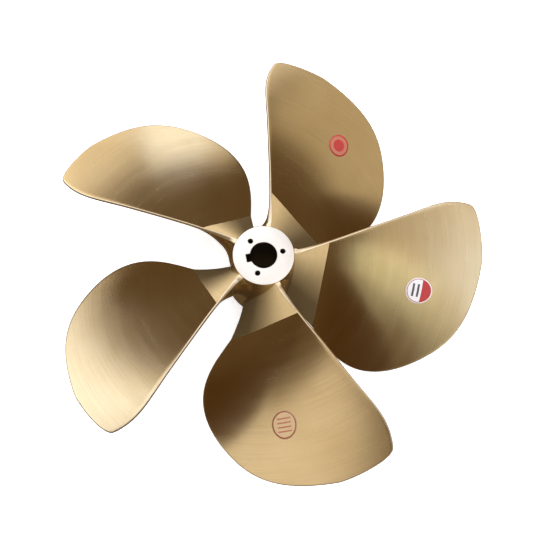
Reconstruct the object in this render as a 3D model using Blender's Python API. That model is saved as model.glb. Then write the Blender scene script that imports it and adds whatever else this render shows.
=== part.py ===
"""Five-bladed, right-handed, fixed-pitch boat propeller in cast bronze, 28 inches across.

Metres. The shaft axis is Z and +Z points aft, so the pressure faces look up. The origin is on the
shaft axis at the centre of mass. Angles run anticlockwise as seen from aft, with 0 along +X.
The casting is split at the blade roots into a hub and five blades, each with a small gap.
"""

from math import asin, atan, cos, pi, radians, sin, sqrt, tau

import bmesh
import bpy
import numpy as np

# Driving sizes
INCH = 0.0254
RADIUS = 14 * INCH
PITCH = 36 * INCH
BLADE_COUNT = 5
FIRST_BLADE_ANGLE = radians(74.7)
GAP = 0.0003  # clearance between neighbouring solids

# Hub, bored for a 2 inch shaft with a taper of 1 in 16 on its diameter
HUB_LENGTH = 5.75 * INCH
AFT_FACE_Z = 0.0720
FORE_FACE_Z = AFT_FACE_Z - HUB_LENGTH
HUB_AFT_RADIUS = 0.0487
HUB_FORE_RADIUS = 0.0585
RIM_CHAMFER = 0.0016
BORE_TAPER = 1 / 32  # on the radius
BORE_FORE_RADIUS = 1 * INCH
BORE_AFT_RADIUS = BORE_FORE_RADIUS - HUB_LENGTH * BORE_TAPER
KEYWAY_WIDTH = INCH / 2
KEYWAY_DEPTH = INCH / 4
KEYWAY_ANGLE = radians(191)
PULLER_HOLE_COUNT = 3
PULLER_HOLE_RADIUS = 0.0038
PULLER_HOLE_DEPTH = 0.022
PULLER_CIRCLE_RADIUS = 0.0306
FIRST_PULLER_ANGLE = radians(12)
HUB_STEPS = 96
HOLE_STEPS = 24
OVERSHOOT = 0.01  # how far a cutter runs past the face it cuts
SHARP_FROM = radians(35)
MERGE_DISTANCE = 1e-6

# Blade outline and thickness at stations from the root to the tip, as shares of RADIUS
STATIONS = (0.16, 0.42, 0.65, 0.84, 0.96, 0.993, 1.0)
LEADING_DEGREES = (40.8, 49.7, 46.2, 31.8, 16.2, 5.0, 1.8)  # clockwise of the blade's line
TRAILING_DEGREES = (5.3, 10.9, 13.2, 14.1, 12.1, 8.0, -1.8)  # anticlockwise of it
THICKNESS = (0.030, 0.019, 0.012, 0.0078, 0.0054, 0.0048, 0.0045)
EDGE_THICKNESS = 0.0045
LINE_DROP_AT_AXIS = 0.0125  # how far the blade's line lies forward of the aft face at the axis
LINE_DROP_AT_TIP = 0.0355

# Blade root: a flat ramp on the pressure face inside a straight crease, and a fillet all round
INNERMOST_ROW = 0.12
CREASE_DISTANCE = 0.277  # of the crease from the shaft axis, as a share of RADIUS
CREASE_FACING = radians(-11.5)  # from the blade's line to the direction square to the crease
RAMP_HEIGHT = 0.014
RAMP_SHARE_AT_TRAILING_EDGE = 0.3
ROOT_DEPTH_UNDER_RIM = 0.0012  # how far the blade stays below the hub's aft face at the rim
ROOT_CLEARING_SLOPE = 0.25  # how fast it may rise past that face away from the rim
ROOT_FILLET = 0.018
TRAILING_EDGE_FILLET = 0.004
ROOT_ROWS = 4
OUTER_ROWS = 16
CHORD_STEPS = 14

# Round labels: blade number, share of RADIUS, angle from the blade's line, and diameter
LABELS = {
    "emblem_label": (1, 0.728, radians(-15.8), 0.039),
    "two_tone_label": (2, 0.721, radians(-12.1), 0.043),
    "ring_stamp": (3, 0.717, radians(-13.6), 0.043),
}
LABEL_STANDOFF = 0.0006  # over the facets of the blade below
LABEL_THICKNESS = 0.0003
LABEL_STEPS = 32
LABEL_RINGS = 3

# Colour, roughness and metallic value of each material
BLADE_BRONZE = ((0.31, 0.20, 0.082), 0.34, 1.0)
MACHINED_BRONZE = ((0.62, 0.50, 0.33), 0.28, 1.0)
RED_FILM = ((0.55, 0.02, 0.015), 0.45, 0.0)
WHITE_FILM = ((0.80, 0.78, 0.74), 0.45, 0.0)
STAMP_FILM = ((0.35, 0.09, 0.04), 0.50, 0.0)


# Shared helpers


def clear_scene():
    for found in list(bpy.data.objects):
        bpy.data.objects.remove(found)


def material(name, colour, roughness, metallic):
    made = bpy.data.materials.new(name)
    made.use_nodes = True
    shader = made.node_tree.nodes["Principled BSDF"]
    shader.inputs["Base Color"].default_value = (*colour, 1.0)
    shader.inputs["Roughness"].default_value = roughness
    shader.inputs["Metallic"].default_value = metallic
    return made


def object_from(name, shape, finish):
    """Turns a bmesh into a named object with smooth round faces and sharp corners."""
    bmesh.ops.recalc_face_normals(shape, faces=shape.faces)
    mesh = bpy.data.meshes.new(name)
    shape.to_mesh(mesh)
    shape.free()
    mesh.shade_smooth()
    mesh.set_sharp_from_angle(angle=SHARP_FROM)
    mesh.materials.append(finish)
    made = bpy.data.objects.new(name, mesh)
    bpy.context.scene.collection.objects.link(made)
    return made


def hide(helper):
    helper.hide_render = True
    helper.display_type = "WIRE"
    return helper


def cut(target, cutter):
    modifier = target.modifiers.new("cut_" + cutter.name, "BOOLEAN")
    modifier.operation = "DIFFERENCE"
    modifier.object = cutter


def turned(profile, steps):
    """A closed solid: the profile, a loop of (radius, height) points, spun round the Z axis."""
    shape = bmesh.new()
    loop = [shape.verts.new((radius, 0.0, height)) for radius, height in profile]
    edges = [shape.edges.new(pair) for pair in zip(loop, loop[1:] + loop[:1])]
    bmesh.ops.spin(
        shape, geom=loop + edges, cent=(0, 0, 0), axis=(0, 0, 1), angle=tau, steps=steps
    )
    bmesh.ops.remove_doubles(shape, verts=shape.verts, dist=MERGE_DISTANCE)
    return shape


def natural_spline(knots, values):
    """The natural cubic spline through the knots, like a thin batten bent through them."""
    knots, values = np.asarray(knots, float), np.asarray(values, float)
    step, count = np.diff(knots), len(knots)
    system, right = np.eye(count), np.zeros(count)
    for i in range(1, count - 1):
        system[i, i - 1 : i + 2] = step[i - 1], 2 * (step[i - 1] + step[i]), step[i]
        slopes = np.diff(values[i - 1 : i + 2]) / step[i - 1 : i + 1]
        right[i] = 3 * (slopes[1] - slopes[0])
    square = np.linalg.solve(system, right)
    cube = np.diff(square) / (3 * step)
    linear = np.diff(values) / step - step * (2 * square[:-1] + square[1:]) / 3

    def value_at(place):
        i = int(np.clip(np.searchsorted(knots, place, side="right") - 1, 0, count - 2))
        t = place - knots[i]
        return values[i] + t * (linear[i] + t * (square[i] + t * cube[i]))

    return value_at


# Hub


def hub_radius(height):
    """Radius of the hub's cone at a height."""
    share = (AFT_FACE_Z - height) / HUB_LENGTH
    return HUB_AFT_RADIUS + share * (HUB_FORE_RADIUS - HUB_AFT_RADIUS)


def bore_radius(height):
    """Radius of the tapered bore at a height."""
    return BORE_AFT_RADIUS + (AFT_FACE_Z - height) * BORE_TAPER


def keyway_cutter():
    """A bar as wide as the keyway, its outer wall parallel to the bore's taper."""
    shape = bmesh.new()
    corners = []
    for height in (FORE_FACE_Z - OVERSHOOT, AFT_FACE_Z + OVERSHOOT):
        outer = bore_radius(height) + KEYWAY_DEPTH
        for out, across in ((0, -1), (outer, -1), (outer, 1), (0, 1)):
            corners.append(shape.verts.new((out, across * KEYWAY_WIDTH / 2, height)))
    fore, aft = corners[:4], corners[4:]
    shape.faces.new(fore)
    shape.faces.new(aft)
    for i in range(4):
        following = (i + 1) % 4
        shape.faces.new((fore[i], fore[following], aft[following], aft[i]))
    cutter = hide(object_from("keyway_cutter", shape, None))
    cutter.rotation_euler.z = KEYWAY_ANGLE
    return cutter


def puller_hole_cutter(number):
    angle = FIRST_PULLER_ANGLE + number * tau / PULLER_HOLE_COUNT
    shape = bmesh.new()
    bmesh.ops.create_cone(
        shape,
        cap_ends=True,
        segments=HOLE_STEPS,
        radius1=PULLER_HOLE_RADIUS,
        radius2=PULLER_HOLE_RADIUS,
        depth=PULLER_HOLE_DEPTH + OVERSHOOT,
    )
    cutter = hide(object_from(f"puller_hole_cutter_{number + 1}", shape, None))
    middle = AFT_FACE_Z + (OVERSHOOT - PULLER_HOLE_DEPTH) / 2
    cutter.location = (PULLER_CIRCLE_RADIUS * cos(angle), PULLER_CIRCLE_RADIUS * sin(angle), middle)
    return cutter


def make_hub(finish):
    profile = (
        (BORE_AFT_RADIUS, AFT_FACE_Z),
        (HUB_AFT_RADIUS - RIM_CHAMFER, AFT_FACE_Z),
        (hub_radius(AFT_FACE_Z - RIM_CHAMFER), AFT_FACE_Z - RIM_CHAMFER),
        (hub_radius(FORE_FACE_Z + RIM_CHAMFER), FORE_FACE_Z + RIM_CHAMFER),
        (HUB_FORE_RADIUS - RIM_CHAMFER, FORE_FACE_Z),
        (BORE_FORE_RADIUS, FORE_FACE_Z),
    )
    hub = object_from("hub", turned(profile, HUB_STEPS), finish)
    cut(hub, keyway_cutter())
    for number in range(PULLER_HOLE_COUNT):
        cut(hub, puller_hole_cutter(number))
    return hub


# Blades


def along_radius(values):
    """A batten through values at the stations, read at a share of RADIUS.

    The knots are evenly graded in the quarter-sine of the radius, which rounds the tip.
    """

    def quarter_sine(share):
        return asin(min(1.0, (share - STATIONS[0]) / (1 - STATIONS[0]))) * 2 / pi

    spline = natural_spline([quarter_sine(share) for share in STATIONS], values)
    return lambda share: spline(quarter_sine(share))


leading_degrees = along_radius(LEADING_DEGREES)
trailing_degrees = along_radius(TRAILING_DEGREES)
greatest_thickness = along_radius(THICKNESS)


def face_point(share, angle, lift=0.0):
    """A point above the helical pressure face, in the blade's own frame, its line along +X."""
    radius = share * RADIUS
    helix = atan(PITCH / (tau * radius))
    turned_by = angle - lift * sin(helix) / radius
    drop = LINE_DROP_AT_AXIS + share * (LINE_DROP_AT_TIP - LINE_DROP_AT_AXIS)
    height = AFT_FACE_Z - drop + PITCH * angle / tau + lift * cos(helix)
    off_rim = max(0.0, radius - HUB_AFT_RADIUS)
    height = min(height, AFT_FACE_Z - ROOT_DEPTH_UNDER_RIM + ROOT_CLEARING_SLOPE * off_rim)
    return radius * cos(turned_by), radius * sin(turned_by), height


def chord_angle(share, chord_share):
    """Angle from the blade's line; a chord share of 0 is the trailing edge, 1 the leading one."""
    return radians((1 - chord_share) * trailing_degrees(share) - chord_share * leading_degrees(share))


def crease(chord_share):
    """Radius where the root ramp ends, as a share of RADIUS: a straight line as seen from aft."""
    return CREASE_DISTANCE / cos(chord_angle(CREASE_DISTANCE, chord_share) - CREASE_FACING)


def ramp(share, chord_share):
    """Height of the root ramp: flat from the crease up to the hub, and low at the trailing edge."""
    reach = share * cos(chord_angle(CREASE_DISTANCE, chord_share) - CREASE_FACING)
    climb = (CREASE_DISTANCE - reach) / (CREASE_DISTANCE - HUB_AFT_RADIUS / RADIUS)
    low = RAMP_SHARE_AT_TRAILING_EDGE
    across = low + (1 - low) * min(1.0, 2 * chord_share)
    return RAMP_HEIGHT * across * min(1.0, max(0.0, climb))


def fillet(share, size):
    """How far a round fillet against the hub's side stands off the blade at this radius."""
    off_hub = min(size, max(0.0, share * RADIUS - (HUB_AFT_RADIUS + HUB_FORE_RADIUS) / 2))
    return size - sqrt(size**2 - (size - off_hub) ** 2)


def section_point(share, chord_share, aft_side):
    """A point of the blade section at this radius, on its pressure face or its suction face."""
    helix = atan(PITCH / (tau * share * RADIUS))
    flare = (1 - chord_share) * fillet(share, TRAILING_EDGE_FILLET)
    flare -= chord_share * fillet(share, ROOT_FILLET)
    angle = chord_angle(share, chord_share) + flare * cos(helix) / (share * RADIUS)
    if aft_side:
        return face_point(share, angle, ramp(share, chord_share))
    belly = 1 - (2 * chord_share - 1) ** 2
    thickness = EDGE_THICKNESS + (greatest_thickness(share) - EDGE_THICKNESS) * belly
    return face_point(share, angle, -thickness - fillet(share, ROOT_FILLET) * sqrt(belly))


def row_share(row, chord_share):
    """The radius of a row: even inside the crease, closer and closer towards the tip outside it."""
    if row < ROOT_ROWS:
        return INNERMOST_ROW + (crease(chord_share) - INNERMOST_ROW) * row / ROOT_ROWS
    quarter = (row - ROOT_ROWS) / OUTER_ROWS * pi / 2
    return crease(chord_share) + (1 - crease(chord_share)) * sin(quarter)


def blade_shape():
    """A closed blade that starts inside the hub; its last ring closes to the tip's short edge."""
    shape = bmesh.new()
    chord_shares = [i / CHORD_STEPS for i in range(CHORD_STEPS + 1)]
    around = [(c, True) for c in chord_shares] + [(c, False) for c in reversed(chord_shares)]
    rings = [
        [shape.verts.new(section_point(row_share(row, c), c, aft_side)) for c, aft_side in around]
        for row in range(ROOT_ROWS + OUTER_ROWS + 1)
    ]
    for ring, following in zip(rings, rings[1:]):
        for i in range(len(ring)):
            shape.faces.new((ring[i - 1], ring[i], following[i], following[i - 1]))
    root = rings[0]
    for i in range(CHORD_STEPS):
        shape.faces.new((root[i], root[i + 1], root[-2 - i], root[-1 - i]))
    bmesh.ops.remove_doubles(shape, verts=shape.verts, dist=MERGE_DISTANCE)
    return shape


def hub_clearance():
    """The hub's cone grown by the gap, which cuts the blades' roots free of the hub."""
    top, bottom = AFT_FACE_Z + OVERSHOOT, FORE_FACE_Z - OVERSHOOT
    profile = (
        (BORE_AFT_RADIUS, top),
        (hub_radius(top) + GAP, top),
        (hub_radius(bottom) + GAP, bottom),
        (BORE_AFT_RADIUS, bottom),
    )
    return hide(object_from("hub_clearance", turned(profile, HUB_STEPS), None))


def blade_angle(number):
    """Angle of a blade's line; blades are numbered clockwise as seen from aft."""
    return FIRST_BLADE_ANGLE - (number - 1) * tau / BLADE_COUNT


def make_blades(finish):
    clearance = hub_clearance()
    for number in range(1, BLADE_COUNT + 1):
        blade = object_from(f"blade_{number}", blade_shape(), finish)
        blade.rotation_euler.z = blade_angle(number)
        cut(blade, clearance)


# Labels


def label_layer(shape, share, angle, diameter, lift):
    """One side of a round film: rings of points that follow the pressure face. Returns its rim."""
    helix = atan(PITCH / (tau * share * RADIUS))

    def film_point(along_chord, outward):
        place = share + outward / RADIUS
        turned_by = angle + along_chord * cos(helix) / (place * RADIUS)
        return shape.verts.new(face_point(place, turned_by, lift))

    inner = [film_point(0, 0)] * LABEL_STEPS
    for ring in range(1, LABEL_RINGS + 1):
        radius = diameter / 2 * ring / LABEL_RINGS
        turns = [step * tau / LABEL_STEPS for step in range(LABEL_STEPS)]
        outer = [film_point(radius * cos(turn), radius * sin(turn)) for turn in turns]
        for i in range(LABEL_STEPS):
            corners = dict.fromkeys((inner[i - 1], inner[i], outer[i], outer[i - 1]))
            shape.faces.new(corners)
        inner = outer
    return inner


def label_shape(share, angle, diameter):
    """A thin round film just above the pressure face."""
    shape = bmesh.new()
    lower = label_layer(shape, share, angle, diameter, LABEL_STANDOFF)
    upper = label_layer(shape, share, angle, diameter, LABEL_STANDOFF + LABEL_THICKNESS)
    for i in range(LABEL_STEPS):
        shape.faces.new((lower[i - 1], lower[i], upper[i], upper[i - 1]))
    return shape


def make_labels(finishes):
    for name, (blade, share, angle, diameter) in LABELS.items():
        label = object_from(name, label_shape(share, angle, diameter), finishes[name])
        label.rotation_euler.z = blade_angle(blade)


clear_scene()
make_hub(material("machined_bronze", *MACHINED_BRONZE))
make_blades(material("blade_bronze", *BLADE_BRONZE))
make_labels(
    {
        "emblem_label": material("red_film", *RED_FILM),
        "two_tone_label": material("white_film", *WHITE_FILM),
        "ring_stamp": material("stamp_film", *STAMP_FILM),
    }
)
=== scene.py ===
"""Studio picture of a five-bladed, right-handed boat propeller in cast and brushed bronze.

Metres. The shaft axis is Z and +Z points aft, so the pressure faces look up. The propeller lies on
its forward side. Each fine piece is named after the CAD node that it stands for.
"""

from math import atan, cos, pi, radians, sin, tan, tau

import bmesh
import bpy
import numpy as np
from mathutils import Matrix, Vector


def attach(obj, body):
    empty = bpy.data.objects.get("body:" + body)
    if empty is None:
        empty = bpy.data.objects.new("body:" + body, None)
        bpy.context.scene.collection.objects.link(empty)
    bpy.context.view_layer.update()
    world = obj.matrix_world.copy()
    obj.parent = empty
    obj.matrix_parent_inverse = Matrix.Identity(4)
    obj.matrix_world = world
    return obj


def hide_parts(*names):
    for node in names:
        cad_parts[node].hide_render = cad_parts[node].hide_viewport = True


# Driving sizes
INCH = 0.0254
RADIUS = 14 * INCH
PITCH = 36 * INCH
BLADE_COUNT = 5
FIRST_BLADE_ANGLE = radians(74.7)

# Hub
HUB_LENGTH = 5.75 * INCH
AFT_FACE_Z = 0.0720
FORE_FACE_Z = AFT_FACE_Z - HUB_LENGTH
HUB_AFT_RADIUS = 0.0487
HUB_FORE_RADIUS = 0.0585
RIM_ROUNDING = 0.0016
BORE_TAPER = 1 / 32  # on the radius
BORE_FORE_RADIUS = 1 * INCH
BORE_AFT_RADIUS = BORE_FORE_RADIUS - HUB_LENGTH * BORE_TAPER
KEYWAY_WIDTH = INCH / 2
KEYWAY_DEPTH = INCH / 4
KEYWAY_ANGLE = radians(191)
PULLER_HOLE_COUNT = 3
PULLER_HOLE_RADIUS = 0.0038
PULLER_HOLE_DEPTH = 0.022
PULLER_CIRCLE_RADIUS = 0.0306
FIRST_PULLER_ANGLE = radians(12)
MOUTH_CHAMFER = 0.0006  # round the bore, the keyway and the puller holes
HUB_STEPS = 240
HOLE_STEPS = 48
ROUNDING_STEPS = 5
OVERSHOOT = 0.01  # how far a cutter runs past the face it cuts
LEVEL = 0.9  # a face is level when its normal's height is more than this
UPRIGHT = 0.5  # and upright when it is less than this
SHARP_ANGLE = radians(30)
FACE_FINISH, SIDE_FINISH, BORE_PAINTED_SHADE_FINISH = range(3)  # material indices on the hub

# Blade outline and thickness at stations from the root to the tip, each a share of RADIUS
STATIONS = (0.16, 0.42, 0.65, 0.84, 0.96, 0.993, 1.0)
LEADING_DEGREES = (40.8, 49.7, 46.2, 31.8, 16.2, 5.0, 1.8)  # clockwise of the blade's line
TRAILING_DEGREES = (5.3, 10.9, 13.2, 14.1, 12.1, 8.0, -1.8)  # anticlockwise of it
THICKNESS = (0.030, 0.019, 0.012, 0.0078, 0.0054, 0.0048, 0.0045)
EDGE_THICKNESS = 0.0045
EDGE_ROUNDING = 0.0014
LINE_DROP_AT_AXIS = 0.0125  # how far the blade's line lies forward of the aft face at the axis
LINE_DROP_AT_TIP = 0.0355

# Blade root: a flat ramp on the pressure face inside a straight crease, and a fillet all round
INNERMOST_ROW = 0.12  # as a share of RADIUS
CREASE_DISTANCE = 0.277  # of the crease from the shaft axis, as a share of RADIUS
CREASE_FACING = radians(-11.5)  # from the blade's line to the direction square to the crease
RAMP_HEIGHT = 0.014
RAMP_SHARE_AT_TRAILING_EDGE = 0.3
ROOT_DEPTH_UNDER_RIM = 0.0012  # how far the blade stays below the hub's aft face at the rim
ROOT_CLEARING_SLOPE = 0.25  # how fast it may rise past that face away from the rim
ROOT_FILLET = 0.018
TRAILING_EDGE_FILLET = 0.004
ROOT_ROWS = 14
OUTER_ROWS = 60
CHORD_STEPS = 48
BLADE_FINISH, EDGE_FINISH, ROOT_FINISH = range(3)  # material indices on a blade

# Round labels: blade number, share of RADIUS, angle from the blade's line, and diameter
LABELS = {
    "emblem_label": (1, 0.728, radians(-15.8), 0.039),
    "two_tone_label": (2, 0.721, radians(-12.1), 0.043),
    "ring_stamp": (3, 0.717, radians(-13.6), 0.043),
}
LABEL_STANDOFF = 0.0001
LABEL_THICKNESS = 0.0002
LABEL_STEPS = 64
LABEL_RINGS = 6

# Studio
CAMERA_PLACE = (-0.0224, -0.3308, 1.1265)
CAMERA_TILT = radians(17.42)
CAMERA_LEAN = radians(-1.16)
LENS = 46.6
SENSOR_WIDTH = 36.0
SHIFT = (0.0207, -0.0364)
CLIP = (0.05, 100.0)
FLOOR_Z = FORE_FACE_Z - 0.009
COVE_RADIUS = 7.0  # the floor curves up into a round wall
COVE_ROUNDING = 2.0
COVE_HEIGHT = 6.0
COVE_STEPS = 64
COVE_COLOUR = (0.93, 0.93, 0.93)
COVE_GLOW = 0.65
COVE_ROUGHNESS = 0.9
HUB_SHADE = (0.034, 0.050)  # the floor is dark within the first radius, bright beyond the second
HUB_SHADE_COLOUR = (0.02, 0.02, 0.02)
AMBIENT = 0.155
AMBIENT_COLOUR = (1.0, 0.67, 0.33)
LAMP_DISTANCE = 3.0

# Colours of the softboxes
WARM = (1.0, 0.98, 0.86)
WHITE_LIGHT = (1.0, 1.03, 1.06)
COOL = (0.72, 1.0, 1.65)
GREENISH = (0.84, 1.0, 0.98)

# Softboxes: azimuth, elevation, width and height in degrees, radiance, colour
SOFTBOXES = {
    "back_right_light": (64, 33, 32, 38, 1.1, WHITE_LIGHT),
    "back_right_core": (69, 32, 20, 38, 1.0, COOL),
    "back_light": (98, 39, 30, 44, 1.3, WHITE_LIGHT),
    "back_left_light": (131, 43, 50, 46, 1.15, WHITE_LIGHT),
    "back_left_core": (137, 45, 42, 42, 1.2, COOL),
    "overhead_light": (50, 80, 50, 34, 2.2, WHITE_LIGHT),
    "right_light": (-47, 40, 32, 30, 0.65, WHITE_LIGHT),
    "green_right_light": (-71, 34, 18, 30, 0.84, GREENISH),
    "high_right_light": (-36, 60, 26, 20, 2.0, COOL),
    "left_light": (-162, 44, 42, 36, 1.05, WHITE_LIGHT),
    "low_right_light": (10, 39, 52, 38, 0.58, WARM),
    "low_front_light": (-84, 24, 40, 24, 0.4, GREENISH),
}


# Mesh helpers

MERGE_DISTANCE = 1e-6


def natural_spline(knots, values):
    """The natural cubic spline through the knots, like a thin batten bent through them."""
    knots, values = np.asarray(knots, float), np.asarray(values, float)
    step, count = np.diff(knots), len(knots)
    system, right = np.eye(count), np.zeros(count)
    for i in range(1, count - 1):
        system[i, i - 1 : i + 2] = step[i - 1], 2 * (step[i - 1] + step[i]), step[i]
        slopes = np.diff(values[i - 1 : i + 2]) / step[i - 1 : i + 1]
        right[i] = 3 * (slopes[1] - slopes[0])
    square = np.linalg.solve(system, right)
    cube = np.diff(square) / (3 * step)
    linear = np.diff(values) / step - step * (2 * square[:-1] + square[1:]) / 3

    def values_at(places):
        i = np.clip(np.searchsorted(knots, places, side="right") - 1, 0, count - 2)
        t = places - knots[i]
        return values[i] + t * (linear[i] + t * (square[i] + t * cube[i]))

    return values_at


def object_from(name, shape, *finishes):
    """Turns a bmesh into a named object with smooth faces; edges already marked sharp stay so."""
    bmesh.ops.remove_doubles(shape, verts=shape.verts, dist=MERGE_DISTANCE)
    bmesh.ops.recalc_face_normals(shape, faces=shape.faces)
    mesh = bpy.data.meshes.new(name)
    for face in shape.faces:
        face.smooth = True
    shape.to_mesh(mesh)
    shape.free()
    for finish in finishes:
        mesh.materials.append(finish)
    made = bpy.data.objects.new(name, mesh)
    bpy.context.scene.collection.objects.link(made)
    return made


def joined(shape, lower, upper):
    """The faces between two loops of vertices; a corner that both sides share counts once."""
    faces = []
    for i in range(len(lower)):
        corners = dict.fromkeys((lower[i - 1], lower[i], upper[i], upper[i - 1]))
        if len(corners) > 2:
            faces.append(shape.faces.new(corners))
    return faces


def turned(profile, steps, closed=True):
    """The profile, a line or a closed loop of (radius, height) points, turned round the Z axis."""
    shape = bmesh.new()
    turns = [step * tau / steps for step in range(steps)]
    rings = []
    for radius, height in profile:
        places = [(radius * cos(turn), radius * sin(turn), height) for turn in turns]
        if radius == 0:
            rings.append([shape.verts.new(places[0])] * steps)
        else:
            rings.append([shape.verts.new(place) for place in places])
    if closed:
        rings.append(rings[0])
    for lower, upper in zip(rings, rings[1:]):
        joined(shape, lower, upper)
    return shape


def stacked(outlines):
    """A closed shape through outlines of equal length, one above the other."""
    shape = bmesh.new()
    loops = [[shape.verts.new(corner) for corner in outline] for outline in outlines]
    for lower, upper in zip(loops, loops[1:]):
        joined(shape, lower, upper)
    shape.faces.new(loops[0])
    shape.faces.new(loops[-1])
    return shape


def cut(target, cutter):
    """Cuts the cutter out of the target for good, and removes the cutter."""
    modifier = target.modifiers.new("cut", "BOOLEAN")
    modifier.operation = "DIFFERENCE"
    modifier.object = cutter
    bpy.context.view_layer.objects.active = target
    bpy.ops.object.modifier_apply(modifier=modifier.name)
    bpy.data.objects.remove(cutter)


# Hub


def bore_radius(height):
    """Radius of the tapered bore at a height."""
    return BORE_AFT_RADIUS + (AFT_FACE_Z - height) * BORE_TAPER


def rounded_corner(radius, height, upwards):
    """Points round the hub's rim, from the end face to the side at the aft end, or back again."""
    points = []
    for step in range(ROUNDING_STEPS + 1):
        turn = step / ROUNDING_STEPS * pi / 2
        out, along = RIM_ROUNDING * (1 - sin(turn)), RIM_ROUNDING * (1 - cos(turn))
        points.append((radius - out, height - upwards * along))
    return points if upwards > 0 else points[::-1]


def keyway_cutter():
    """A bar as wide as the keyway, flared at both mouths."""
    outlines = []
    levels = (
        (FORE_FACE_Z - OVERSHOOT, MOUTH_CHAMFER + OVERSHOOT),
        (FORE_FACE_Z + MOUTH_CHAMFER, 0),
        (AFT_FACE_Z - MOUTH_CHAMFER, 0),
        (AFT_FACE_Z + OVERSHOOT, MOUTH_CHAMFER + OVERSHOOT),
    )
    for height, flare in levels:
        outer, half = bore_radius(height) + KEYWAY_DEPTH + flare, KEYWAY_WIDTH / 2 + flare
        corners = ((0, -half), (outer, -half), (outer, half), (0, half))
        outlines.append([(x, y, height) for x, y in corners])
    cutter = object_from("keyway_cutter", stacked(outlines))
    cutter.rotation_euler.z = KEYWAY_ANGLE
    return cutter


def puller_hole_cutter(number):
    """A drill with a drilled point, and a countersink at the mouth."""
    angle = FIRST_PULLER_ANGLE + number * tau / PULLER_HOLE_COUNT
    mouth = PULLER_HOLE_RADIUS + MOUTH_CHAMFER + OVERSHOOT
    profile = (
        (0, AFT_FACE_Z - PULLER_HOLE_DEPTH - PULLER_HOLE_RADIUS / 2),
        (PULLER_HOLE_RADIUS, AFT_FACE_Z - PULLER_HOLE_DEPTH),
        (PULLER_HOLE_RADIUS, AFT_FACE_Z - MOUTH_CHAMFER),
        (mouth, AFT_FACE_Z + OVERSHOOT),
        (0, AFT_FACE_Z + OVERSHOOT),
    )
    cutter = object_from("puller_hole_cutter", turned(profile, HOLE_STEPS))
    cutter.location = (PULLER_CIRCLE_RADIUS * cos(angle), PULLER_CIRCLE_RADIUS * sin(angle), 0)
    return cutter


def make_hub(*finishes):
    """The hub with its tapered bore, keyway and puller holes."""
    profile = [
        (bore_radius(AFT_FACE_Z - MOUTH_CHAMFER), AFT_FACE_Z - MOUTH_CHAMFER),
        (BORE_AFT_RADIUS + MOUTH_CHAMFER, AFT_FACE_Z),
        *rounded_corner(HUB_AFT_RADIUS, AFT_FACE_Z, 1),
        *rounded_corner(HUB_FORE_RADIUS, FORE_FACE_Z, -1),
        (BORE_FORE_RADIUS + MOUTH_CHAMFER, FORE_FACE_Z),
        (bore_radius(FORE_FACE_Z + MOUTH_CHAMFER), FORE_FACE_Z + MOUTH_CHAMFER),
    ]
    hub = object_from("hub_casting", turned(profile, HUB_STEPS), *finishes)
    cut(hub, keyway_cutter())
    for number in range(PULLER_HOLE_COUNT):
        cut(hub, puller_hole_cutter(number))
    mesh = hub.data
    for face in mesh.polygons:
        from_axis, rise = Vector(face.center[:2]).length, abs(face.normal.z)
        if from_axis > HUB_AFT_RADIUS - RIM_ROUNDING and rise <= LEVEL:
            face.material_index = SIDE_FINISH
        # the walls of the bore, keyway and puller holes take a near-black bronze: painted shade
        elif rise < UPRIGHT:
            face.material_index = BORE_PAINTED_SHADE_FINISH
        else:
            face.material_index = FACE_FINISH
    mesh.shade_smooth()
    mesh.set_sharp_from_angle(angle=SHARP_ANGLE)
    return hub


# Blades


def along_radius(values):
    """A batten through values at the stations, evenly graded in the quarter-sine of the radius."""

    def quarter_sine(shares):
        grown = (np.asarray(shares, float) - STATIONS[0]) / (1 - STATIONS[0])
        return np.arcsin(np.minimum(1.0, grown)) * 2 / pi

    spline = natural_spline(quarter_sine(STATIONS), values)
    return lambda shares: spline(quarter_sine(shares))


leading_degrees = along_radius(LEADING_DEGREES)
trailing_degrees = along_radius(TRAILING_DEGREES)
greatest_thickness = along_radius(THICKNESS)


def face_point(share, angle, lift=0.0):
    """Points above the helical pressure face, in the blade's own frame, its line along +X."""
    radius = share * RADIUS
    helix = np.arctan(PITCH / (tau * radius))
    turned_by = angle - lift * np.sin(helix) / radius
    drop = LINE_DROP_AT_AXIS + share * (LINE_DROP_AT_TIP - LINE_DROP_AT_AXIS)
    height = AFT_FACE_Z - drop + PITCH * angle / tau + lift * np.cos(helix)
    off_rim = np.maximum(0.0, radius - HUB_AFT_RADIUS)
    height = np.minimum(height, AFT_FACE_Z - ROOT_DEPTH_UNDER_RIM + ROOT_CLEARING_SLOPE * off_rim)
    return np.stack([radius * np.cos(turned_by), radius * np.sin(turned_by), height], axis=-1)


def chord_angle(share, chord_share):
    """Angle from the blade's line; a chord share of 0 is the trailing edge, 1 the leading one."""
    degrees = (1 - chord_share) * trailing_degrees(share) - chord_share * leading_degrees(share)
    return np.radians(degrees)


def crease(chord_share):
    """Radius where the root ramp ends, as a share of RADIUS: a straight line as seen from aft."""
    return CREASE_DISTANCE / np.cos(chord_angle(CREASE_DISTANCE, chord_share) - CREASE_FACING)


def ramp(share, chord_share):
    """Height of the root ramp: flat from the crease up to the hub, and low at the trailing edge."""
    reach = share * np.cos(chord_angle(CREASE_DISTANCE, chord_share) - CREASE_FACING)
    climb = (CREASE_DISTANCE - reach) / (CREASE_DISTANCE - HUB_AFT_RADIUS / RADIUS)
    low = RAMP_SHARE_AT_TRAILING_EDGE
    across = low + (1 - low) * np.minimum(1.0, 2 * chord_share)
    return RAMP_HEIGHT * across * np.clip(climb, 0.0, 1.0)


def fillet(share, size):
    """How far a round fillet against the hub's side stands off the blade at this radius."""
    off_hub = np.clip(share * RADIUS - (HUB_AFT_RADIUS + HUB_FORE_RADIUS) / 2, 0.0, size)
    return size - np.sqrt(size**2 - (size - off_hub) ** 2)


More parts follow.
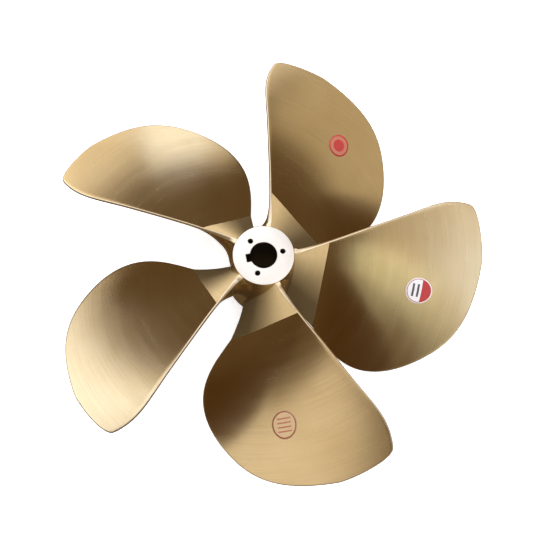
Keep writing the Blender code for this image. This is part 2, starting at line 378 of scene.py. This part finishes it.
def flared_angle(share, chord_share):
    """Angle of the blade section's point, the flare of the root's fillets included."""
    helix = np.arctan(PITCH / (tau * share * RADIUS))
    flare = (1 - chord_share) * fillet(share, TRAILING_EDGE_FILLET)
    flare = flare - chord_share * fillet(share, ROOT_FILLET)
    return chord_angle(share, chord_share) + flare * np.cos(helix) / (share * RADIUS)


def row_shares(chord_share):
    """Radii of the rows: even inside the crease, closer and closer towards the tip outside it."""
    inner = np.linspace(INNERMOST_ROW, crease(chord_share), ROOT_ROWS, endpoint=False)
    outer_shares = np.sin(np.linspace(0, pi / 2, OUTER_ROWS + 1))
    outer = crease(chord_share) + (1 - crease(chord_share)) * outer_shares
    return np.concatenate([inner, outer])


def inset(share, angle, inwards):
    """Moves a line of points on the outline inwards along the surface, across the outline."""
    radius = share * RADIUS
    stretch = radius / np.cos(np.arctan(PITCH / (tau * radius)))
    along, out = np.gradient(angle) * stretch, np.gradient(radius)
    length = np.hypot(along, out)
    return share - inwards * along / length / RADIUS, angle + inwards * out / length / stretch


def edge_profile():
    """The rounded edge's section, without its ends: how far out, and how high above the face."""
    deep = EDGE_THICKNESS - EDGE_ROUNDING
    turns = np.linspace(0, pi / 2, ROUNDING_STEPS + 1)
    profile = [(EDGE_ROUNDING * sin(t), -EDGE_ROUNDING * (1 - cos(t))) for t in turns]
    profile += [(EDGE_ROUNDING * cos(t), -deep - EDGE_ROUNDING * sin(t)) for t in turns]
    return profile[1:-1]


def blade_shape():
    """A closed blade with a rounded edge all round, from inside the hub to the tip."""
    rows = ROOT_ROWS + OUTER_ROWS
    share = np.concatenate([row_shares(0.0), row_shares(1.0)[-2::-1]])
    chord_side = np.concatenate([np.zeros(rows + 1), np.ones(rows)])
    angle = flared_angle(share, chord_side)
    rim = inset(share, angle, -EDGE_ROUNDING)

    def both_edges(line):
        """The outline's line as two columns, trailing and leading, from the root to the tip."""
        return np.stack([line[: rows + 1], line[rows:][::-1]], axis=1)

    across = np.linspace(0, 1, CHORD_STEPS + 1)
    sides = np.stack([1 - across, across])
    grid_share = np.stack([row_shares(c) for c in across], axis=1)
    grid_angle = flared_angle(grid_share, across)
    grid_share = grid_share + both_edges(rim[0] - share) @ sides
    grid_angle = grid_angle + both_edges(rim[1] - angle) @ sides
    belly = 1 - (2 * across - 1) ** 2
    grow = EDGE_THICKNESS + (greatest_thickness(grid_share) - EDGE_THICKNESS) * belly
    grow = grow + fillet(grid_share, ROOT_FILLET) * np.sqrt(belly)
    raised = ramp(grid_share, across)
    aft = face_point(grid_share, grid_angle, raised)
    fore = face_point(grid_share, grid_angle, -grow)

    edge_lines = []
    raised_edge = ramp(share, chord_side)
    for out, lift in edge_profile():
        line = inset(share, angle, out - EDGE_ROUNDING)
        edge_lines.append(face_point(*line, raised_edge * (1 + lift / EDGE_THICKNESS) + lift))

    loops = []
    for row in range(rows + 1):
        leading = [line[len(share) - 1 - row] for line in edge_lines]
        trailing = [line[row] for line in reversed(edge_lines)]
        loops.append([*aft[row], *leading, *fore[row][::-1], *trailing])
    shape = bmesh.new()
    rings = [[shape.verts.new(point) for point in loop] for loop in loops]
    wide = CHORD_STEPS + 1
    aft_side = range(1, wide)
    fore_side = range(wide + len(edge_lines) + 1, 2 * wide + len(edge_lines))
    for row, (ring, following) in enumerate(zip(rings, rings[1:])):
        for i, face in enumerate(joined(shape, ring, following)):
            if i in aft_side and row < ROOT_ROWS:
                face.material_index = ROOT_FINISH
            elif i in aft_side or i in fore_side:
                face.material_index = BLADE_FINISH
            else:
                face.material_index = EDGE_FINISH
    shape.faces.new(rings[0])
    for a, b in zip(rings[ROOT_ROWS][:wide], rings[ROOT_ROWS][1:wide]):
        shape.edges.get((a, b)).smooth = False
    return shape


def blade_angle(number):
    """Angle of a blade's line; blades are numbered clockwise as seen from aft."""
    return FIRST_BLADE_ANGLE - (number - 1) * tau / BLADE_COUNT


# Labels


def label_shape(share, angle, diameter):
    """A thin round film on the pressure face; its UV map is the film's own plane, 0 to 1 across."""
    shape = bmesh.new()
    plane = shape.loops.layers.uv.new("film")
    helix = atan(PITCH / (tau * share * RADIUS))
    where = {}

    def film_point(along_chord, outward, lift):
        place = share + outward / RADIUS
        turned_by = angle + along_chord * cos(helix) / (place * RADIUS)
        made = shape.verts.new(face_point(place, turned_by, lift))
        where[made] = (0.5 + along_chord / diameter, 0.5 + outward / diameter)
        return made

    def layer(lift):
        inner = [film_point(0, 0, lift)] * LABEL_STEPS
        for ring in range(1, LABEL_RINGS + 1):
            radius = diameter / 2 * ring / LABEL_RINGS
            turns = [step * tau / LABEL_STEPS for step in range(LABEL_STEPS)]
            outer = [film_point(radius * cos(turn), radius * sin(turn), lift) for turn in turns]
            joined(shape, inner, outer)
            inner = outer
        return inner

    lower, upper = layer(LABEL_STANDOFF), layer(LABEL_STANDOFF + LABEL_THICKNESS)
    joined(shape, lower, upper)
    for face in shape.faces:
        for corner in face.loops:
            corner[plane].uv = where[corner.vert]
    return shape


# Materials

# Brushed bronze: fine streaks and broad bands round the shaft axis, over clouds of toning
STREAKS_PER_METRE = 620.0
HUB_STREAKS_PER_METRE = 700.0
STREAKS_PER_RADIAN = 2.2
STREAKS_PER_METRE_OF_HEIGHT = 4.0
STREAKS_PER_BAND = 9
BAND_STRETCH = 2
STREAK_SHADES = ((0.25, 0.35), (0.75, 1.0))
STREAK_STRENGTH = 0.16
STREAK_BUMP = 0.03
STREAK_DEPTH = 0.00002
BAND_RANGE = (0.3, 0.7)  # of the noise, over which the roughness varies by the next two shares
ROUGHNESS_VARIATION = (0.94, 1.07)
CLOUD_SCALE = 9.0
CLOUD_SHARES = ((0.38, 0.0), (0.72, 0.55))
# Painted shade: the root ramps darken from each trailing edge towards the leading edge, as if
# shaded in the corner at the hub
PAINTED_SHADE_COLOUR = (0.088, 0.051, 0.013)
ROOT_PAINTED_SHADE = ((0.18, 0.0), (0.42, 0.5), (0.64, 0.85))  # painted shade on the root ramps, darker away from the trailing edge
PAINTED_SHADE_GAP_DEGREES = 1  # between a trailing edge and where its next painted shade starts
PAINTED_SHADE_GLOSS = 0.25

# The bore's bronze, mottled; its near-black colour is painted shade
MOTTLING_SCALE = 160.0
MOTTLING_SHADES = ((0.3, 0.5), (0.7, 1.0))
MOTTLING_STRENGTH = 0.3
MOTTLING_DEPTH = 0.0001

# Label films
FILM_ROUGHNESS = 0.4
WEAR_SCALE = 220.0
WEAR_SHADES = ((0.3, 0.72), (0.65, 1.0))
WEAR_STRENGTH = 0.25
RED = (0.36, 0.016, 0.014)
SALMON = (0.38, 0.12, 0.062)
WHITE = (0.62, 0.58, 0.56)
INK = (0.06, 0.045, 0.045)
STAMP_RED = (0.22, 0.052, 0.027)
STAMP_BAR = (0.29, 0.08, 0.043)
STAMP_GROUND = (0.40, 0.262, 0.12)


def add(tree, kind, sockets=None, **settings):
    """A node with its settings; a socket's value is a number, a colour or another node's output."""
    made = tree.nodes.new(kind)
    for key, value in settings.items():
        setattr(made, key, value)
    for socket, value in (sockets or {}).items():
        if isinstance(value, bpy.types.NodeSocket):
            tree.links.new(value, made.inputs[socket])
        else:
            made.inputs[socket].default_value = value
    return made


def maths(tree, operation, *values):
    """A Math node's output."""
    return add(tree, "ShaderNodeMath", dict(enumerate(values)), operation=operation).outputs[0]


def graded(tree, value, stops):
    """The value turned into greys: each stop is a value and the grey that it becomes."""
    node = add(tree, "ShaderNodeValToRGB", {"Fac": value})
    elements = node.color_ramp.elements
    while len(elements) < len(stops):
        elements.new(0.5)
    for element, (place, grey) in zip(elements, stops):
        element.position = place
        element.color = (grey, grey, grey, 1.0)
    return node.outputs["Color"]


def mixed(tree, share, first, second, blend="MIX"):
    """Two colours mixed, the second one by the share."""
    node = add(tree, "ShaderNodeMix", {"Factor": share}, data_type="RGBA", blend_type=blend)
    for socket, value in ((node.inputs[6], first), (node.inputs[7], second)):
        if isinstance(value, bpy.types.NodeSocket):
            tree.links.new(value, socket)
        else:
            socket.default_value = (*value, 1.0)
    return node.outputs[2]


def new_material(name, metallic, roughness):
    """A material, its node tree and its shader."""
    made = bpy.data.materials.new(name)
    made.use_nodes = True
    shader = made.node_tree.nodes["Principled BSDF"]
    shader.inputs["Metallic"].default_value = metallic
    shader.inputs["Roughness"].default_value = roughness
    return made, made.node_tree, shader


def polar(tree):
    """Distance from the shaft axis in metres, angle round it, and height."""
    place = add(tree, "ShaderNodeTexCoord").outputs["Object"]
    apart = add(tree, "ShaderNodeSeparateXYZ", {"Vector": place})
    flat = add(tree, "ShaderNodeCombineXYZ", {"X": apart.outputs["X"], "Y": apart.outputs["Y"]})
    reach = add(tree, "ShaderNodeVectorMath", {0: flat.outputs[0]}, operation="LENGTH")
    angle = maths(tree, "ARCTAN2", apart.outputs["Y"], apart.outputs["X"])
    return reach.outputs["Value"], angle, apart.outputs["Z"]


def noise(tree, vector, scale, detail=3.0, roughness=0.5):
    """A noise texture's values along a vector."""
    sockets = {"Vector": vector, "Scale": scale, "Detail": detail, "Roughness": roughness}
    return add(tree, "ShaderNodeTexNoise", sockets).outputs["Fac"]


def object_noise(tree, scale, detail=3.0, roughness=0.5):
    """Noise over the object's own coordinates."""
    place = add(tree, "ShaderNodeTexCoord").outputs["Object"]
    return noise(tree, place, scale, detail, roughness)


def brushing(tree, reach, angle, height, per_metre, per_radian):
    """Streaks that run round the shaft axis at a constant radius."""
    across = maths(tree, "MULTIPLY", reach, per_metre)
    along = maths(tree, "MULTIPLY", angle, per_radian)
    rise = maths(tree, "MULTIPLY", height, STREAKS_PER_METRE_OF_HEIGHT)
    line = add(tree, "ShaderNodeCombineXYZ", {"X": across, "Y": along, "Z": rise})
    return noise(tree, line.outputs[0], 1.0)


def behind_trailing_edge(tree, angle):
    """0 just outside each blade's trailing edge, rising to 1 at the next blade's."""
    start = FIRST_BLADE_ANGLE + radians(TRAILING_DEGREES[1] + PAINTED_SHADE_GAP_DEGREES)
    behind = maths(tree, "SUBTRACT", start, angle)
    return maths(tree, "FRACT", maths(tree, "DIVIDE", behind, tau / BLADE_COUNT))


def bump_shader(tree, shader, height, strength, distance):
    """Gives the shader a bump."""
    sockets = {"Height": height, "Strength": strength, "Distance": distance}
    bump = add(tree, "ShaderNodeBump", sockets)
    tree.links.new(bump.outputs["Normal"], shader.inputs["Normal"])


def brushed_bronze(
    name, colour, toned_colour, roughness, per_metre=STREAKS_PER_METRE, metallic=1.0, painted_shade=()
):
    """Bronze ground with a disc round the shaft axis, toned in clouds, with painted shade by stops.
    """
    made, tree, shader = new_material(name, metallic, roughness)
    where = polar(tree)
    streaks = brushing(tree, *where, per_metre, STREAKS_PER_RADIAN)
    broad = (per_metre / STREAKS_PER_BAND, STREAKS_PER_RADIAN / BAND_STRETCH)
    bands = brushing(tree, *where, *broad)
    clouds = graded(tree, object_noise(tree, CLOUD_SCALE, 4.0, 0.55), CLOUD_SHARES)
    ground = mixed(tree, clouds, colour, toned_colour)
    shade = graded(tree, streaks, STREAK_SHADES)
    ground = mixed(tree, STREAK_STRENGTH, ground, shade, "MULTIPLY")
    # painted shade, darker away from each blade's trailing edge
    if painted_shade:
        share = graded(tree, behind_trailing_edge(tree, where[1]), painted_shade)
        ground = mixed(tree, share, ground, PAINTED_SHADE_COLOUR)
        shader.inputs["Specular IOR Level"].default_value = PAINTED_SHADE_GLOSS
    tree.links.new(ground, shader.inputs["Base Color"])
    low, high = BAND_RANGE
    satin = add(tree, "ShaderNodeMapRange", {"Value": bands, "From Min": low, "From Max": high})
    for socket, variation in zip(("To Min", "To Max"), ROUGHNESS_VARIATION):
        satin.inputs[socket].default_value = roughness * variation
    tree.links.new(satin.outputs["Result"], shader.inputs["Roughness"])
    bump_shader(tree, shader, streaks, STREAK_BUMP, STREAK_DEPTH)
    return made


def mottled_bronze(name, colour, metallic, roughness):
    """Bronze of the given colour with fine mottling; the bore's near-black colour is painted shade.
    """
    made, tree, shader = new_material(name, metallic, roughness)
    mottling = object_noise(tree, MOTTLING_SCALE)
    shade = graded(tree, mottling, MOTTLING_SHADES)
    ground = mixed(tree, MOTTLING_STRENGTH, colour, shade, "MULTIPLY")
    tree.links.new(ground, shader.inputs["Base Color"])
    bump_shader(tree, shader, mottling, MOTTLING_STRENGTH, MOTTLING_DEPTH)
    return made


def film_coordinates(tree):
    """Distance from the film's middle, 1 at its rim, and the place across and up the film."""
    place = add(tree, "ShaderNodeUVMap", uv_map="film").outputs["UV"]
    middle = (0.5, 0.5, 0.0)
    centred = add(tree, "ShaderNodeVectorMath", {0: place, 1: middle}, operation="SUBTRACT")
    doubling = {0: centred.outputs[0], "Scale": 2.0}
    doubled = add(tree, "ShaderNodeVectorMath", doubling, operation="SCALE")
    reach = add(tree, "ShaderNodeVectorMath", {0: doubled.outputs[0]}, operation="LENGTH")
    apart = add(tree, "ShaderNodeSeparateXYZ", {"Vector": doubled.outputs[0]})
    return reach.outputs["Value"], apart.outputs["X"], apart.outputs["Y"]


def band(tree, value, low, high):
    """1 where the value lies between low and high."""
    above = maths(tree, "GREATER_THAN", value, low)
    below = maths(tree, "LESS_THAN", value, high)
    return maths(tree, "MULTIPLY", above, below)


def film_material(name, ground, drawing):
    """A printed film: a ground colour under a drawing of (mask, colour) pairs."""
    made, tree, shader = new_material(name, 0.0, FILM_ROUGHNESS)
    reach, across, up = film_coordinates(tree)
    colour = mixed(tree, 0.0, ground, ground)
    for mask, ink in drawing(tree, reach, across, up):
        colour = mixed(tree, mask, colour, ink)
    wear = graded(tree, object_noise(tree, WEAR_SCALE, 4.0), WEAR_SHADES)
    colour = mixed(tree, WEAR_STRENGTH, colour, wear, "MULTIPLY")
    tree.links.new(colour, shader.inputs["Base Color"])
    return made


def bars(tree, across, up, levels, half_width, half_length):
    """Masks of plain level bars, at these levels above the film's middle."""
    inside = band(tree, across, -half_length, half_length)
    for level in levels:
        bar = band(tree, up, level - half_width, level + half_width)
        yield maths(tree, "MULTIPLY", bar, inside)


def emblem_drawing(tree, reach, across, up):
    """A plain disc inside a ring."""
    yield band(tree, reach, 0.86, 1.1), RED
    yield band(tree, reach, -1.0, 0.56), RED


def two_tone_drawing(tree, reach, across, up):
    """A red outer part, two dark bars on the white part, and a red line inside the white rim."""
    yield maths(tree, "GREATER_THAN", up, 0.18), RED
    for bar in bars(tree, across, up, (-0.45, -0.08), half_width=0.08, half_length=0.5):
        yield bar, INK
    yield band(tree, reach, 0.87, 0.92), RED
    yield band(tree, reach, 0.92, 2.0), WHITE


def stamp_drawing(tree, reach, across, up):
    """A thin ring round plain bars."""
    yield band(tree, reach, 0.87, 0.97), STAMP_RED
    levels = (-0.45, -0.15, 0.15, 0.45)
    for bar in bars(tree, across, up, levels, half_width=0.05, half_length=0.55):
        yield bar, STAMP_BAR


# Pieces

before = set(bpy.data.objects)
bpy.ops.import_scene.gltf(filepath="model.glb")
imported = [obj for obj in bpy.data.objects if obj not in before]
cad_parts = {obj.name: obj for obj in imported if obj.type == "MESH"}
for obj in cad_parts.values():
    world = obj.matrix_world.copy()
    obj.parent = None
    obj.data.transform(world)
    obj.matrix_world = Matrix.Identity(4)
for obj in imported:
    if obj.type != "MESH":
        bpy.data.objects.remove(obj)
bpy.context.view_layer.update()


def stand_for(piece, node, slot):
    """Shows the piece in place of the CAD node."""
    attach(piece, "root")
    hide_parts(node)


def make_pieces():
    """The hub, the blades and the label films."""
    blade_finish = brushed_bronze(
        "brushed_blade_bronze", (0.66, 0.485, 0.255), (0.56, 0.385, 0.175), roughness=0.26
    )
    edge_finish = brushed_bronze(
        "ground_edge_bronze", (0.60, 0.46, 0.29), (0.50, 0.37, 0.22), roughness=0.34
    )
    root_finish = brushed_bronze(
        "sanded_root_bronze",
        (0.70, 0.51, 0.25),
        (0.60, 0.42, 0.19),
        roughness=0.5,
        metallic=0.4,
        # the root ramps carry painted shade
        painted_shade=ROOT_PAINTED_SHADE,
    )
    face_finish = brushed_bronze(
        "machined_hub_bronze",
        (0.52, 0.48, 0.44),
        (0.48, 0.44, 0.39),
        roughness=0.32,
        per_metre=HUB_STREAKS_PER_METRE,
    )
    # near black: painted shade in the bore, keyway and puller holes, over mottled bronze
    bore_painted_shade_finish = mottled_bronze("bore_bronze_painted_shade", (0.03, 0.02, 0.012), metallic=0.8, roughness=0.6)
    hub = make_hub(face_finish, blade_finish, bore_painted_shade_finish)
    stand_for(hub, "hub", "hub_bronze")
    finishes = (blade_finish, edge_finish, root_finish)
    for number in range(1, BLADE_COUNT + 1):
        blade = object_from(f"blade_{number}_casting", blade_shape(), *finishes)
        blade.data.transform(Matrix.Rotation(blade_angle(number), 4, "Z"))
        stand_for(blade, f"blade_{number}", "blade_bronze")
    films = {
        "emblem_label": (film_material("emblem_film", SALMON, emblem_drawing), "red_film"),
        "two_tone_label": (film_material("two_tone_film", WHITE, two_tone_drawing), "white_film"),
        "ring_stamp": (film_material("stamp_film", STAMP_GROUND, stamp_drawing), "stamp_film"),
    }
    for name, (number, share, angle, diameter) in LABELS.items():
        film, slot = films[name]
        label = object_from(name + "_film", label_shape(share, angle, diameter), film)
        label.data.transform(Matrix.Rotation(blade_angle(number), 4, "Z"))
        stand_for(label, name, slot)


def make_floor():
    """A pale floor that curves up into a round wall; the bronze mirrors the dark room behind it."""
    finish, tree, shader = new_material("pale_floor", 0.0, COVE_ROUGHNESS)
    shader.inputs["Emission Color"].default_value = (1.0, 1.0, 1.0, 1.0)
    shade = graded(tree, polar(tree)[0], tuple(zip(HUB_SHADE, (0.0, 1.0))))
    glow = maths(tree, "MULTIPLY", shade, COVE_GLOW)
    tree.links.new(glow, shader.inputs["Emission Strength"])
    tree.links.new(mixed(tree, shade, HUB_SHADE_COLOUR, COVE_COLOUR), shader.inputs["Base Color"])
    profile = [(0.0, FLOOR_Z)]
    for step in range(COVE_STEPS // 4 + 1):
        turn = step / (COVE_STEPS // 4) * pi / 2
        out, up = COVE_ROUNDING * sin(turn), COVE_ROUNDING * (1 - cos(turn))
        profile.append((COVE_RADIUS - COVE_ROUNDING + out, FLOOR_Z + up))
    profile.append((COVE_RADIUS, FLOOR_Z + COVE_HEIGHT))
    cove = object_from("studio_floor", turned(profile, COVE_STEPS, closed=False), finish)
    cove.visible_glossy = False


def make_lights():
    """A dim warm room and the softboxes, all facing the propeller."""
    world = bpy.data.worlds.new("studio")
    world.use_nodes = True
    background = world.node_tree.nodes["Background"]
    background.inputs["Color"].default_value = (*AMBIENT_COLOUR, 1.0)
    background.inputs["Strength"].default_value = AMBIENT
    bpy.context.scene.world = world
    for name, (azimuth, elevation, wide, high, radiance, colour) in SOFTBOXES.items():
        azimuth, elevation = radians(azimuth), radians(elevation)
        width, height = (2 * LAMP_DISTANCE * tan(radians(angle) / 2) for angle in (wide, high))
        level = cos(elevation)
        direction = Vector((cos(azimuth) * level, sin(azimuth) * level, sin(elevation)))
        lamp = bpy.data.lights.new(name, "AREA")
        lamp.shape, lamp.size, lamp.size_y = "RECTANGLE", width, height
        lamp.energy, lamp.color = radiance * pi * width * height, colour
        placed = bpy.data.objects.new(name, lamp)
        placed.location = direction * LAMP_DISTANCE
        placed.rotation_euler = direction.to_track_quat("Z", "Y").to_euler()
        bpy.context.scene.collection.objects.link(placed)


def make_camera():
    """A camera above and in front of the propeller."""
    lens = bpy.data.cameras.new("camera")
    lens.lens, lens.sensor_width = LENS, SENSOR_WIDTH
    lens.shift_x, lens.shift_y = SHIFT
    lens.clip_start, lens.clip_end = CLIP
    camera = bpy.data.objects.new("camera", lens)
    turn = Matrix.Rotation(CAMERA_TILT, 4, "X") @ Matrix.Rotation(CAMERA_LEAN, 4, "Y")
    camera.matrix_world = Matrix.Translation(CAMERA_PLACE) @ turn
    bpy.context.scene.collection.objects.link(camera)
    bpy.context.scene.camera = camera


make_pieces()
make_floor()
make_lights()
make_camera()
bpy.context.scene.view_settings.view_transform = "Standard"
